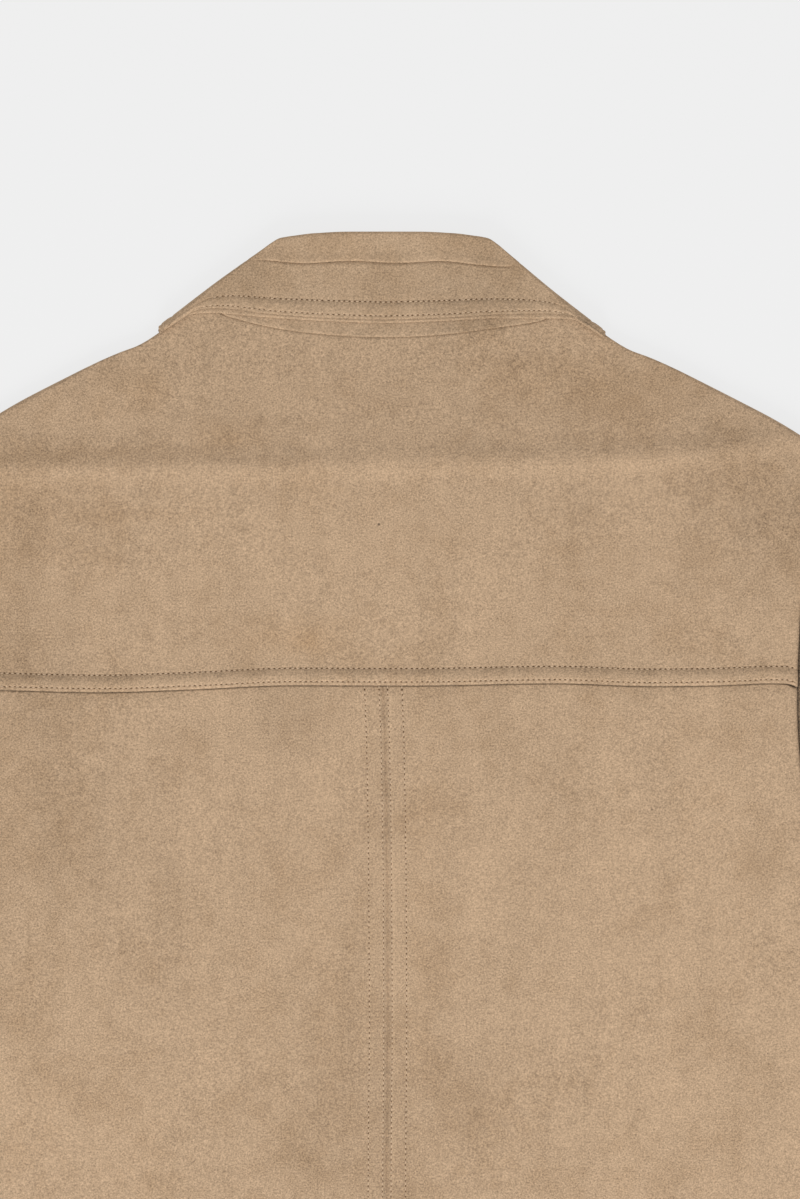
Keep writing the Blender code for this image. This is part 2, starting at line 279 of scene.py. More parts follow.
# The middle of the back's wall
def topZ(x, y):
    fromRidge = y - ridgeCurve(x)
    fade = (1 - 0.45 * step(0.20, 0.27, abs(x))) * (1 - 0.25 * swells(x, 3.1, 0.09))
    ridge = relief["ridge"] * hump(fromRidge + 0.002, relief["ridgeWidth"]) * fade
    fall = relief["shoulderFall"] * (1 - step(0.004, 0.040, fromRidge)) * step(-0.20, -0.06, y)
    overCollar = (1 - step(0.03, 0.11, abs(x))) * step(-0.27, -0.20, y) * (1 - step(-0.050, -0.015, y))
    calm = 1 - step(-0.040, -0.014, y) * (1 - step(0.135, 0.165, abs(x)))
    soft = relief["swell"] * (0.7 + swells(x, y, 0.055)) + relief["smallSwell"] * swells(x, y, 0.017)
    return topMiddle + 0.0008 * overCollar + calm * (ridge + fall + soft + creaseHeight("back", x, y))


# The middle of a front's wall, where layer 0 lies lowest at the closing
def bottomZ(x, y, layer):
    zone = 2 * (wall + body["seamGap"]) * collarZone(x, y)
    closing = max(0.0021, zone) + layer * (wall + body["seamGap"])
    strip = 1 - step(0.020, 0.052, abs(x))
    free = step(0.052, 0.085, abs(x)) * (1 - collarZone(x, y)) * step(0.0, 0.02, halfWidth(y) - abs(x))
    return wall / 2 + max(zone, closing * strip) + 0.6 * free * creaseHeight("front", abs(x), y)


def shoulderRadius(x):
    lift = 2 * (wall + body["seamGap"]) * collarZone(x, shoulderY(x))
    return (topMiddle - wall / 2 - lift) / 2


def sideAt(share, low, high):
    x = body["tipX"]
    for _ in range(5):
        y = mix(low, high(x), share)
        x = halfWidth(y)
    return x, y


def armholeDip(y):
    return 1 - step(-0.178, -0.150, y)


# The yoke's lower edge is a turned lip that lies over the backs, held by two rows of stitches.
yokeLip = {
    "height": 0.0009,
    "over": -0.0005,
    "curl": 0.0008,
    "edgeRow": 0.0020,
    "bandRow": 0.0102,
    "band": 0.00045,
}
centreSeam = {
    "edgeRow": 0.0025,
    "outerRow": 0.0115,
    "ditch": 0.0008,
    "ditchWidth": 0.0009,
    "groove": 0.00028,
    "raised": 0.00030,
    "flatBy": (0.006, 0.014),
}


def curled(distance, radius):
    if distance >= radius:
        return 0.0
    return radius * (1 - math.sqrt(max(0.0, 1 - (1 - distance / radius) ** 2)))


def yokeEdgeRelief(s):
    lip = yokeLip["height"] * (1 - step(0.004, yokeLip["bandRow"] + 0.004, s)) - curled(s, yokeLip["curl"])
    inside = 1 - step(yokeLip["bandRow"] - 0.0045, yokeLip["bandRow"], s)
    band = yokeLip["band"] * step(0.0, 0.004, s) * inside
    grooves = 0.00034 * hump(s - yokeLip["edgeRow"], 0.0006) + 0.00040 * hump(s - yokeLip["bandRow"], 0.0009)
    return lip + band - grooves


def yokePanel(across, up):
    side = math.copysign(1, across)
    rise = min(up, 1)
    edge, edgeY = sideAt(rise, yokeSeamCurve(side * 0.26), shoulderY)
    dip = armholeDip(edgeY)
    edge -= dip * wall / 2
    reach = bend(foldRadius, math.pi / 2, dip)[0]
    on, down = bend(foldRadius, max(abs(across) - 1, 0) * math.pi / 2, dip)
    x = (edge - reach) * min(abs(across), 1) + on
    share, radius = rolls(x), shoulderRadius(x)
    start = backTopY(x) - share * (wall / 2 + radius) - (1 - share) * radius * body["shoulderTurn"]
    over, under = bend(radius, max(up - 1, 0) * body["shoulderTurn"], share)
    low = yokeSeamCurve(side * x) - yokeLip["over"]
    y = mix(low, start, rise) + over
    z = topZ(side * x, min(y, start)) - down - under
    if y - low < 0.03:
        z += yokeEdgeRelief(y - low)
    if abs(x) < neck["x"]:
        z -= 0.5 * curled(backTopY(x) - neck["gap"] / 2 - y, 0.0014)
    return side * x, y, z


def backPanel(side):
    def place(across, up):
        seam = body["seamGap"] / 2
        y = mix(body["hemY"], -0.2177, up)
        edge = halfWidth(y) - wall / 2
        # the top edge follows the yoke's seam
        high = yokeSeamCurve(side * mix(0, edge, min(across, 1))) - yokeLip["over"] - 0.0006
        y = mix(body["hemY"], high, up)
        start = seam + side * backSeamCurve(y)
        on, down = bend(foldRadius, max(across - 1, 0) * math.pi / 2)
        flat = edge - foldRadius
        x = mix(start, flat, min(across, 1)) + on
        s = x - start
        z = topZ(side * x, y) - down - 0.8 * curled(high - y, 0.0012)
        z -= 0.00035 * (1 - step(0.0, 0.006, high - y))
        if s < 0.02:
            z += centreSeam["raised"] * (1 - step(*centreSeam["flatBy"], s))
            z -= centreSeam["ditch"] * hump(s, centreSeam["ditchWidth"])
            z -= centreSeam["groove"] * hump(s - centreSeam["edgeRow"], 0.0006)
            z -= centreSeam["groove"] * hump(s - centreSeam["outerRow"], 0.0008)
        return side * x, y, z

    return place


def frontPanel(side, layer):
    def place(across, up):
        rise = min(up, 1)
        edge, edgeY = sideAt(rise, body["hemY"], shoulderY)
        closed = 1 - step(body["underarmY"] - 0.012, body["underarmY"], edgeY)
        edge -= closed * wall / 2
        angle = math.pi / 2 - body["foldSlack"] / foldRadius
        reach = mix(foldRadius * angle, foldRadius, closed)
        on, lift = bend(foldRadius, max(across - 1, 0) * angle, closed)
        x = mix(-0.015, edge - reach, min(across, 1)) + on
        share, radius = rolls(x), shoulderRadius(x)
        turn = math.pi - body["shoulderTurn"] - body["foldSlack"] / radius
        start = frontTopY(x) - share * (wall / 2 + radius) - (1 - share) * radius * turn
        over, raised = bend(radius, max(up - 1, 0) * turn, share)
        y = mix(body["hemY"], start, rise) + over
        return side * x, y, bottomZ(x, min(y, start), layer) + lift + raised

    return place


sleeveLines = columns(
    "along outerX outerY innerX innerY",
    (0.00, 0.273, -0.069, 0.270, -0.340),
    (0.12, 0.335, -0.108, 0.277, -0.362),
    (0.26, 0.395, -0.168, 0.290, -0.408),
    (0.42, 0.437, -0.245, 0.305, -0.462),
    (0.58, 0.462, -0.330, 0.320, -0.518),
    (0.76, 0.482, -0.430, 0.338, -0.578),
    (1.00, 0.508, -0.625, 0.360, -0.648),
)
sleeveCurves = {name: smoothCurve(sleeveLines, "along", name) for name in list(sleeveLines)[1:]}


def sleevePlan(out, along):
    inner = Vector((sleeveCurves["innerX"](along), sleeveCurves["innerY"](along)))
    outer = Vector((sleeveCurves["outerX"](along), sleeveCurves["outerY"](along)))
    inner0 = Vector((sleeveCurves["innerX"](0), sleeveCurves["innerY"](0)))
    outer0 = Vector((sleeveCurves["outerX"](0), sleeveCurves["outerY"](0)))
    y = mix(body["underarmY"], body["tipY"], out)
    armhole = Vector((halfWidth(y), y))
    return mix(inner, outer, out) + (armhole - mix(inner0, outer0, out)) * (1 - along)


def sleevePanel(side):
    quarter = math.pi / 2

    def place(turned, downArm):
        long = max(downArm, 0)
        width = (sleevePlan(1, long) - sleevePlan(0, long)).length
        margin = (wall / 2 + foldRadius) / width
        drop, top = 0.0, 0.0
        if turned <= 0:
            on, drop = bend(foldRadius, -turned * quarter)
            out, z, top = margin - on / width, topMiddle, 1.0
        elif turned <= 1:
            out, z, top = mix(margin, 1 - margin, turned), topMiddle, 1.0
        elif turned <= 3:
            angle = (turned - 1) * quarter
            out = 1 - margin + foldRadius * math.sin(angle) / width
            z = wall / 2 + foldRadius * (1 + math.cos(angle))
        elif turned <= 4:
            out, z = mix(1 - margin, margin, turned - 3), wall / 2
        else:
            on, lift = bend(foldRadius, (turned - 4) * (quarter - body["foldSlack"] / foldRadius))
            out, z = margin - on / width, wall / 2 + lift
        dip = armholeDip(mix(body["underarmY"], body["tipY"], out)) if top else 0.0
        # the sleeve falls to the seam less steeply than the body, so the valley between them is open above
        ease = 1 + 0.7 * dip
        reach = ease * bend(foldRadius, quarter, dip)[0] + dip * wall / 2 + body["armholeGap"]
        on, sunk = bend(foldRadius, max(-downArm, 0) * quarter, dip)
        on *= ease
        away = (sleevePlan(out, 0.02).x - sleevePlan(out, 0).x) / 0.02
        along = (reach - on) / away if downArm <= 0 else mix(reach / away, 1, downArm)
        plan = sleevePlan(out, along)
        z -= min(math.hypot(drop, sunk), foldRadius)
        if top:
            inside = step(0.0, 0.08, out) * step(0.0, 0.08, 1 - out) * step(0.0, 0.05, along)
            soft = 0.00035 * swells(side * plan.x, plan.y, 0.05)
            z += inside * (creaseHeight("sleeve", plan.x, plan.y) + soft)
        return side * plan.x, plan.y, z

    return place


# Collar: a flattened ring from the middle of the back (around 0) over the side turn to the front (around 1)
collar = {
    "ringZ": 0.00465,
    "leafDepth": 0.0006,
    "underDepth": 0.0021,
    "standDepth": 0.0036,
    "sideNormal": Vector((0.62, 0.785)),
    "edgeRow": 0.0020,
    "bandRow": 0.0106,
    "underShows": 0.0019,
}
collar["rollRadius"] = (collar["standDepth"] - collar["leafDepth"]) / 2
collarLines = columns(
    "around turn neckX foldX foldY edgeX edgeY seam",
    (0.00, 0.0, 0.000, 0.0000, 0.0640, 0.0000, 0.0112, 0.316),
    (0.12, 0.0, 0.032, 0.0220, 0.0640, 0.0350, 0.0124, 0.318),
    (0.24, 0.0, 0.062, 0.0430, 0.0631, 0.0700, 0.0146, 0.330),
    (0.34, 0.0, 0.091, 0.0578, 0.0600, 0.1040, 0.0168, 0.313),
    (0.38, 0.0, 0.099, 0.0620, 0.0586, 0.1160, 0.0156, 0.290),
    (0.42, 0.0, 0.106, 0.0655, 0.0572, 0.1270, 0.0098, 0.245),
    (0.46, 0.0, 0.112, 0.0698, 0.0543, 0.1372, 0.0026, 0.190),
    (0.52, 0.5, 0.112, 0.0698, 0.0543, 0.1374, 0.0022, 0.185),
    (0.58, 1.0, 0.112, 0.0697, 0.0540, 0.1370, 0.0014, 0.180),
    (0.64, 1.0, 0.110, 0.0672, 0.0450, 0.1375, -0.0130, 0.160),
    (0.72, 1.0, 0.100, 0.0615, 0.0290, 0.1335, -0.0400, 0.190),
    (0.80, 1.0, 0.084, 0.0500, 0.0040, 0.1240, -0.0720, 0.200),
    (0.90, 1.0, 0.050, 0.0270, -0.0330, 0.1010, -0.1120, 0.200),
    (1.00, 1.0, 0.006, 0.0060, -0.0530, 0.0650, -0.1500, 0.190),
)
collarCurves = {name: smoothCurve(collarLines, "around", name) for name in list(collarLines)[1:]}


def ringPoint(around, depth, plan, turn):
    out = 0.85 * (collar["ringZ"] - depth) * math.sin(math.pi * turn)
    spot = plan + collar["sideNormal"] * out
    z = collar["ringZ"] + (collar["ringZ"] - depth) * math.cos(math.pi * turn)
    return math.copysign(1, around) * spot.x, spot.y, z


def collarStation(around):
    place = abs(around)
    x = collarCurves["neckX"](place)
    neckPoint = Vector((x, frontNeckY(x) if place > 0.52 else backNeckY(x)))
    fold = Vector((collarCurves["foldX"](place), collarCurves["foldY"](place)))
    edge = Vector((collarCurves["edgeX"](place), collarCurves["edgeY"](place)))
    turn = collarCurves["turn"](place)
    # the roll swells on its way to the side turn, so that the outline stays smooth
    swell = 0.0034 * (1 - math.sin(math.pi * turn)) * step(0.22, 0.46, place) * (1 - step(0.58, 0.72, place))
    fold += Vector((0.30, 0.95)) * swell
    # the left tip reaches a little further, and the seam waves and dips to the right
    edge.x *= 1 - 0.009 * math.copysign(1, around) * step(0.30, 0.45, place)
    back = 1 - step(0.35, 0.45, place)
    seam = collarCurves["seam"](place) + 0.010 * math.sin(24 * around + 0.5) * back
    seam += 0.055 * step(0.17, 0.36, around) * back
    return neckPoint, fold, edge, turn, seam


def seamShows(around):
    return 1 - 0.85 * step(0.30, 0.42, abs(around))


def collarStand(around, up):
    neckPoint, fold, edge, turn, seam = collarStation(around)
    rise = (fold - neckPoint).normalized()
    depth = collar["standDepth"]
    if up <= 1:
        length = (fold - neckPoint).length
        plan = mix(neckPoint + rise * neck["gap"] / 2, fold, up)
        depth += 0.5 * curled(up * length, 0.0014)
    elif up <= 2:
        angle = (up - 1) * math.pi
        out = (rise + (fold - edge).normalized()).normalized()
        plan = fold + out * collar["rollRadius"] * math.sin(angle)
        depth = collar["underDepth"] + collar["rollRadius"] * math.cos(angle)
    else:
        length = seam * (edge - fold).length
        plan = mix(fold, edge, seam * (up - 2))
        s = (3 - up) * length
        depth = collar["leafDepth"] - seamShows(around) * (
            0.00035 * (1 - step(0.002, 0.007, s)) - 0.8 * curled(s, 0.0007)
        )
    return ringPoint(around, depth, plan, turn)


def leafRelief(s, length, shows):
    grooves = 0.00030 * hump(s - collar["edgeRow"], 0.0006) + 0.00036 * hump(s - collar["bandRow"], 0.0009)
    band = 0.00035 * step(0.0008, 0.004, s) * (1 - step(collar["bandRow"] - 0.004, collar["bandRow"], s))
    underSeam = shows * 0.00085 * (1 - step(0.0, 0.0024, length - s))
    return band - grooves - curled(s, 0.0007) - underSeam


def collarLeaf(around, down):
    _, fold, edge, turn, seam = collarStation(around)
    length = (edge - fold).length
    start = seam + mix(0.00008, 0.0003, seamShows(around)) / length
    share = mix(start, 1, down)
    depth = collar["leafDepth"] - leafRelief((1 - share) * length, (1 - start) * length, seamShows(around))
    return ringPoint(around, depth, mix(fold, edge, share), turn)


def underCollar(around, down):
    _, fold, edge, turn, _ = collarStation(around)
    length = (edge - fold).length
    short = mix(0.0012, 0.0095, hump(abs(around) - 0.48, 0.10))
    shows = collar["underShows"] + 0.0021 * hump(abs(around) - 0.34, 0.08)
    shows -= 0.0008 * hump(abs(around) - 0.50, 0.05)
    share = mix(short / length, 1 + shows / length, down)
    s = (1 + shows / length - share) * length
    return ringPoint(around, collar["underDepth"] + 0.7 * curled(s, 0.0007), mix(fold, edge, share), turn)


# Where the nap lies lighter or darker, and where the dye is warmer
napPatches = columns(
    "x y sizeX sizeY tone warm",
    (0.000, -0.130, 0.240, 0.050, 0.020, 0.0),
    (0.130, -0.030, 0.080, 0.030, -0.060, 0.40),
    (0.215, -0.090, 0.060, 0.060, -0.085, 0.15),
    (0.240, -0.125, 0.035, 0.035, -0.060, 0.00),
    (-0.222, -0.125, 0.048, 0.045, -0.095, 0.45),
    (-0.235, -0.205, 0.040, 0.050, -0.090, 0.10),
    (-0.225, -0.310, 0.045, 0.080, -0.085, 0.30),
    (-0.170, -0.340, 0.050, 0.070, -0.050, 0.00),
    (-0.205, -0.450, 0.020, 0.030, -0.030, 0.10),
    (-0.205, -0.495, 0.028, 0.030, 0.055, 0.0),
    (-0.060, -0.185, 0.035, 0.014, -0.030, 0.50),
    (-0.046, -0.192, 0.010, 0.008, -0.030, 0.60),
    (-0.195, -0.053, 0.045, 0.007, 0.060, 0.0),
    (-0.225, -0.096, 0.022, 0.006, 0.050, 0.0),
    (-0.100, -0.064, 0.020, 0.008, -0.010, 0.45),
    (-0.150, -0.035, 0.012, 0.018, 0.000, 0.35),
    (-0.140, -0.112, 0.022, 0.006, -0.020, 0.25),
    (0.120, -0.175, 0.080, 0.012, -0.010, 0.10),
    (-0.062, -0.240, 0.030, 0.022, -0.060, 0.00),
    (0.025, -0.330, 0.020, 0.110, -0.045, 0.25),
    (-0.030, -0.490, 0.080, 0.070, -0.090, 0.15),
    (0.045, -0.480, 0.050, 0.060, -0.060, 0.10),
    (0.190, -0.380, 0.070, 0.130, 0.030, 0.0),
    (0.215, -0.270, 0.030, 0.040, 0.025, 0.0),
    (-0.150, -0.010, 0.070, 0.020, -0.040, 0.10),
    (0.000, -0.030, 0.110, 0.014, 0.020, 0.0),
)


def patchTone(x, y):
    tone = warm = 0.0
    for cx, cy, sx, sy, light, dye in zip(*napPatches.values()):
        far = ((x - cx) / sx) ** 2 + ((y - cy) / sy) ** 2
        if far < 8:
            weight = math.exp(-far)
            tone += light * weight
            warm += dye * weight
    return tone, min(warm, 1.0)


# Painted shade: the cloth is darkened in the deep valley between the body's side and the sleeve at the
# armhole, where shade falls
def valleyShade(x, y):
    near = 1 - step(0.0008, 0.0040, abs(abs(x) - halfWidth(y)))
    return paint["valley"] * near * armholeDip(y) * step(-0.35, -0.34, y)


# Tones add to the dye's lightness: darker along the centre seam, uneven where the pieces' nap is uneven,
# painted shade in the armhole valley and in the seams' ditches, and painted highlights on the seams' turned
# lips
paint = {
    "uneven": 0.08,
    "warmUneven": 0.3,
    # painted shade in the armhole valley
    "valley": -0.62,
    # painted shadow in the seams' ditches and under the collar leaf's lip
    "seamShadow": 0.35,
    # painted highlight on the seams' turned lips
    "edgeHighlight": 0.060,
}


def paintSleeve(x, y, z):
    warm = paint["warmUneven"] * step(0, 1, 0.5 + swells(x, y, 0.06))
    # the valley term is painted shade at the armhole
    return paint["uneven"] * swells(x, y, 0.08) + valleyShade(x, y), warm


def paintFront(x, y, z):
    return paint["uneven"] * swells(x, y, 0.09), paint["warmUneven"] * step(0, 1, 0.5 + swells(x, y, 0.05))


def paintYoke(x, y, z):
    tone, warm = patchTone(x, y)
    if z < body["height"] / 2:
        return tone, warm
    s = y - yokeSeamCurve(x) + yokeLip["over"]
    above = y - ridgeCurve(x)
    left = 1 - step(-0.160, -0.100, x)
    # Painted shade just above the crease and a painted highlight on its lit side just below; the warm band
    # above the crease is dye
    tone -= 0.035 * step(-0.003, 0.004, above)
    tone -= (0.035 + 0.055 * left) * hump(above - 0.0065, 0.0065)
    tone += 0.035 * hump(above + 0.006, 0.005)
    warm += 0.35 * left * hump(above - 0.007, 0.007)
    # painted shade in the groove below the band's upper row of stitches
    shade = 0.055 + 0.05 * swells(x, 7.7, 0.022)
    tone -= shade * hump(s - yokeLip["bandRow"] + 0.0020, 0.0021)
    # painted highlight on the lip's rounded edge and painted shadow in the ditch under it
    tone += paint["edgeHighlight"] * hump(s - 0.0010, 0.0006) - 0.45 * hump(s, 0.00035)
    # painted shade where the yoke's side goes down into the armhole valley
    tone += 0.6 * valleyShade(x, y) * step(0.0005, 0.0025, body["height"] - z)
    return tone, warm


def paintBack(x, y, z):
    tone, warm = patchTone(x, y)
    s = x - backSeamCurve(y)
    tone -= (0.085 + 0.05 * swells(8.1, y, 0.025)) * (1 - step(0.0020, 0.0031, abs(s)))
    # painted highlight on the seam's lip beside the centre seam
    tone += paint["edgeHighlight"] * hump(s - 0.0036, 0.0008)
    # painted shadow in the ditch just under the yoke's lip
    tone -= paint["seamShadow"] * hump(y - yokeSeamCurve(x) + 0.0002, 0.0006)
    # painted shade where the back's side goes down into the armhole valley
    tone += 0.6 * valleyShade(x, y) * step(0.0005, 0.0025, body["height"] - z)
    return tone, warm


leafEdgeCurve = smoothCurve(
    {name: collarLines[name][:7] for name in ("edgeX", "edgeY")}, "edgeX", "edgeY", 200
)


def paintCollar(x, y, z):
    if z < collar["ringZ"]:
        return paint["uneven"] * swells(x, y, 0.045) - 0.04, 0.15
    tone = paint["uneven"] * swells(x, y, 0.045) - 0.045 * (1 - step(0.040, 0.056, y))
    tone -= 0.05 * step(0.0, 0.12, x)
    s = y - leafEdgeCurve(abs(x))
    # painted highlight on the leaf's lip and painted shadow in the line beneath it
    tone += 0.055 * hump(s - 0.0009, 0.0005) - paint["seamShadow"] * hump(s, 0.00025)
    # painted highlight on the under collar's lip, and painted shade in the groove below the band's row of
    # stitches
    tone += 0.030 * hump(s + 0.0012, 0.0005) - 0.04 * hump(s - collar["bandRow"] + 0.0020, 0.0020)
    return tone, 0.15 + 0.15 * swells(x + 3, y, 0.03)


# The jacket lies turned a touch, so that its left shoulder and collar tip are higher than the right ones
def leanY(x, y):
    out = step(0.060, 0.110, abs(x)) * (1 - 0.7 * step(0.220, 0.262, abs(x))) * step(-0.210, -0.060, y)
    return y - math.copysign(0.0014, x) * out * (1 + 0.4 * step(-0.01, 0.03, y))


def makeReal(thing):
    graph = bpy.context.evaluated_depsgraph_get()
    mesh = bpy.data.meshes.new_from_object(thing.evaluated_get(graph))
    thing.modifiers.clear()
    thing.data = mesh
    return mesh


def linkMesh(name, bm, looks):
    mesh = bpy.data.meshes.new(name)
    bm.to_mesh(mesh)
    bm.free()
    for look in looks:
        mesh.materials.append(materials[look])
    thing = bpy.data.objects.new(name, mesh)
    bpy.context.scene.collection.objects.link(thing)
    return thing


# A wall of cloth on a grid of places
def clothPiece(name, across, up, place, material, toneAt):
    bm = bmesh.new()
    tone = bm.verts.layers.float.new("tone")
    warm = bm.verts.layers.float.new("warm")
    columnCount = len(across) - 1
    rowCount = len(up) - 1
    bmesh.ops.create_grid(bm, x_segments=columnCount, y_segments=rowCount, size=0.5)
    for vert in bm.verts:
        column = round((vert.co.x + 0.5) * columnCount)
        row = round((vert.co.y + 0.5) * rowCount)
        x, y, z = place(across[column], up[row])
        # tone carries the nap's tone together with painted shade and painted highlights
        vert[tone], vert[warm] = toneAt(x, y, z)
        vert.co = (x, leanY(x, y) + neckY, z)
    bmesh.ops.recalc_face_normals(bm, faces=bm.faces)
    thing = linkMesh(name, bm, ())
    thickness = thing.modifiers.new("wall", "SOLIDIFY")
    thickness.thickness = wall
    thickness.offset = 0
    thickness.use_quality_normals = True
    made = makeReal(thing)
    made.materials.append(material)
    made.shade_smooth()
    made.set_sharp_from_angle(angle=math.radians(55))
    print(name, len(made.polygons), "faces")
    return thing


# Suede: short nap, mottled, with the tone and warm dye painted on the mesh; the tone also carries painted
# shade and painted highlights
suedeLook = {
    "grain": 880,  # noise scales are per metre
    "fibre": 2300,
    "mottle": 105,
    "cloud": 21,
    "streak": (60, 7, 30),
    "warmDye": (0.395, 0.235, 0.115, 1),
    "specks": ((-0.0031, -0.1169, 0.0011, 0.65), (0.1675, -0.2950, 0.0010, 0.45)),
}


def socket(tree, name, kind, way, value=None):
    made = tree.interface.new_socket(name=name, in_out=way, socket_type="NodeSocket" + kind)
    if value is not None:
        made.default_value = value
    return made


def addNode(tree, kind, **settings):
    node = tree.nodes.new("ShaderNode" + kind)
    for name, value in settings.items():
        setattr(node, name, value)
    return node


def wire(tree, value, target):
    if isinstance(value, bpy.types.NodeSocket):
        tree.links.new(value, target)
    else:
        target.default_value = value


def calc(tree, operation, a, b):
    node = addNode(tree, "Math", operation=operation)
    wire(tree, a, node.inputs[0])
    wire(tree, b, node.inputs[1])
    return node.outputs[0]


def noiseAt(tree, vector, scale, detail, rough=0.55):
    node = addNode(tree, "TexNoise")
    tree.links.new(vector, node.inputs["Vector"])
    node.inputs["Scale"].default_value = scale
    node.inputs["Detail"].default_value = detail
    node.inputs["Roughness"].default_value = rough
    return calc(tree, "SUBTRACT", node.outputs["Fac"], 0.5)


def suedeGroup():
    tree = bpy.data.node_groups.new("suedeNap", "ShaderNodeTree")
    socket(tree, "Dye", "Color", "INPUT", (0.46, 0.32, 0.20, 1))
    socket(tree, "Contrast", "Float", "INPUT", 1.0)
    socket(tree, "Colour", "Color", "OUTPUT")
    socket(tree, "Roughness", "Float", "OUTPUT")
    socket(tree, "Height", "Float", "OUTPUT")
    given = tree.nodes.new("NodeGroupInput")
    made = tree.nodes.new("NodeGroupOutput")
    place = addNode(tree, "TexCoord").outputs["Object"]
    stretched = addNode(tree, "Mapping")
    stretched.inputs["Scale"].default_value = suedeLook["streak"]
    tree.links.new(place, stretched.inputs["Vector"])
    grain = noiseAt(tree, place, suedeLook["grain"], 3, 0.6)
    fibre = noiseAt(tree, place, suedeLook["fibre"], 1)
    mottle = noiseAt(tree, place, suedeLook["mottle"], 4, 0.6)
    cloud = noiseAt(tree, place, suedeLook["cloud"], 3)
    streak = noiseAt(tree, stretched.outputs["Vector"], 1.0, 3)
    tone = addNode(tree, "Attribute", attribute_name="tone").outputs["Fac"]
    warm = addNode(tree, "Attribute", attribute_name="warm").outputs["Fac"]

    light = calc(tree, "MULTIPLY", grain, 1.6)
    light = calc(tree, "ADD", light, calc(tree, "MULTIPLY", fibre, 1.0))
    light = calc(tree, "ADD", light, calc(tree, "MULTIPLY", mottle, 0.27))
    light = calc(tree, "ADD", light, calc(tree, "MULTIPLY", cloud, 0.28))
    light = calc(tree, "ADD", light, calc(tree, "MULTIPLY", streak, 0.18))
    light = calc(tree, "MULTIPLY", light, given.outputs["Contrast"])
    # the tone attribute brings in the painted shade and highlights as well as the nap's tone
    light = calc(tree, "ADD", light, tone)
    light = calc(tree, "ADD", light, 1.0)
    for x, y, size, depth in suedeLook["specks"]:
        away = addNode(tree, "VectorMath", operation="DISTANCE")
        tree.links.new(place, away.inputs[0])
        away.inputs[1].default_value = (x, leanY(x, y) + neckY, topZ(x, y) + wall / 2)
        spot = addNode(tree, "MapRange", interpolation_type="SMOOTHSTEP")
        tree.links.new(away.outputs["Value"], spot.inputs["Value"])
        spot.inputs["From Min"].default_value = 0.4 * size
        spot.inputs["From Max"].default_value = size
        spot.inputs["To Min"].default_value = depth
        spot.inputs["To Max"].default_value = 0.0
        light = calc(tree, "SUBTRACT", light, spot.outputs["Result"])

    # the darker places are the warmer ones
    warmth = calc(tree, "SUBTRACT", warm, calc(tree, "MULTIPLY", mottle, 0.8))
    warmth = calc(tree, "SUBTRACT", warmth, calc(tree, "MULTIPLY", cloud, 1.2))
    limited = addNode(tree, "Clamp")
    tree.links.new(warmth, limited.inputs["Value"])
    dyed = addNode(tree, "Mix", data_type="RGBA")
    tree.links.new(calc(tree, "MULTIPLY", limited.outputs[0], 0.55), dyed.inputs["Factor"])
    tree.links.new(given.outputs["Dye"], dyed.inputs["A"])
    dyed.inputs["B"].default_value = suedeLook["warmDye"]
    lit = addNode(tree, "VectorMath", operation="SCALE")
    tree.links.new(dyed.outputs["Result"], lit.inputs[0])
    tree.links.new(light, lit.inputs["Scale"])
    tree.links.new(lit.outputs[0], made.inputs["Colour"])
    tree.links.new(calc(tree, "ADD", calc(tree, "MULTIPLY", grain, 0.15), 0.92), made.inputs["Roughness"])
    height = calc(tree, "ADD", grain, calc(tree, "MULTIPLY", fibre, 0.35))
    tree.links.new(height, made.inputs["Height"])
    return tree


def finishMaterial(name, nap, dye, contrast, bump, sheen, sheenTint):
    material = bpy.data.materials.new(name)
    material.use_nodes = True
    tree = material.node_tree
    shader = tree.nodes["Principled BSDF"]
    group = tree.nodes.new("ShaderNodeGroup")
    group.node_tree = nap
    group.inputs["Dye"].default_value = (*dye, 1)
    group.inputs["Contrast"].default_value = contrast
    raised = addNode(tree, "Bump")
    raised.inputs["Strength"].default_value = bump
    raised.inputs["Distance"].default_value = 0.0006
    tree.links.new(group.outputs["Height"], raised.inputs["Height"])
    tree.links.new(group.outputs["Colour"], shader.inputs["Base Color"])
    tree.links.new(group.outputs["Roughness"], shader.inputs["Roughness"])
    tree.links.new(raised.outputs["Normal"], shader.inputs["Normal"])
    shader.inputs["Specular IOR Level"].default_value = 0.12
    shader.inputs["Sheen Weight"].default_value = sheen
    shader.inputs["Sheen Roughness"].default_value = 0.6
    shader.inputs["Sheen Tint"].default_value = (*sheenTint, 1)
    return material


nap = suedeGroup()
materials = {
    "suede": finishMaterial("suede", nap, (0.470, 0.326, 0.207), 1.0, 0.55, 0.10, (0.95, 0.82, 0.66)),
    "collar": finishMaterial("collarSuede", nap, (0.455, 0.318, 0.203), 0.9, 0.5, 0.10, (0.95, 0.82, 0.66)),
    "thread": finishMaterial("thread", nap, (0.590, 0.435, 0.295), 0.5, 0.2, 0.05, (0.95, 0.85, 0.70)),
    # the needle holes and the buttonhole slots are dark dots of painted shade
    "hole": finishMaterial("needleHoleShade", nap, (0.130, 0.075, 0.038), 0.3, 0.1, 0.0, (1, 1, 1)),
    "horn": finishMaterial("buttonHorn", nap, (0.115, 0.070, 0.040), 1.6, 0.05, 0.0, (1, 1, 1)),
}
print("materials made")


def mirrored(half):
    return [-place for place in half[:0:-1]] + half


